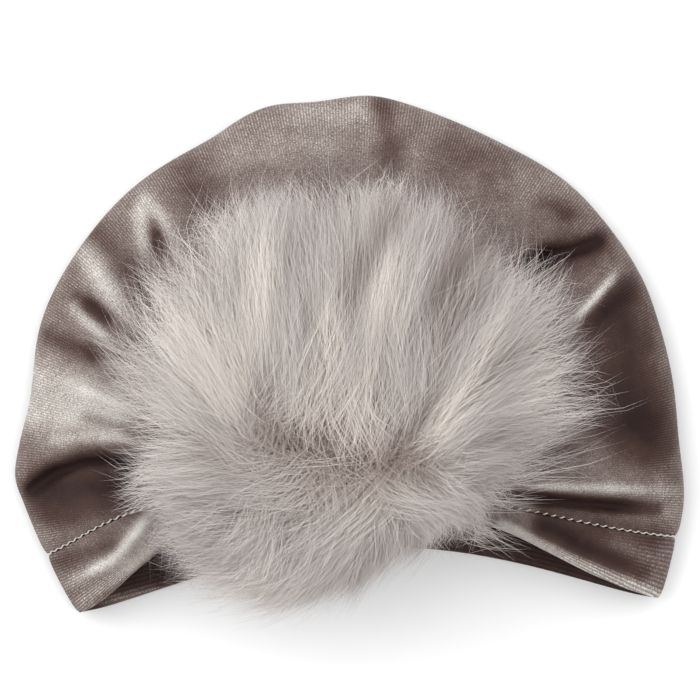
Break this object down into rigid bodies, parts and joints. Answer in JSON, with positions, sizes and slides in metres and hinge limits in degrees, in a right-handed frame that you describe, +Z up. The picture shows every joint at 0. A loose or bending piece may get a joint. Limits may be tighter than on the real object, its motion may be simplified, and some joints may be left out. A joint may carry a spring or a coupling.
{
  "type": "baby turban hat with a fur pompom",
  "caption": "Stretch-velvet turban hat for a small child, gathered at the front under a long-haired pompom, laid flat on its back with its hem open.",
  "frame": {"origin": "on the table, under the middle of the back panel on which the hat lies", "axes": "+Z up, out of the hat's front; +Y towards the top of the crown, away from the hem; +X to the wearer's left"},
  "size_m": [0.2015, 0.1585, 0.0902],
  "materials": {
    "velvet": "taupe stretch velvet with fine ribs and a silvery sheen",
    "backing_cloth": "plain knitted backing cloth",
    "fur": "long faux fur, cool greige with cream tips and taupe shadows"
  },
  "bodies": {
    "root": {"crown": "velvet", "hem": "velvet", "pompom_backing": "backing_cloth", "pompom": "fur"}
  },
  "joints": []
}
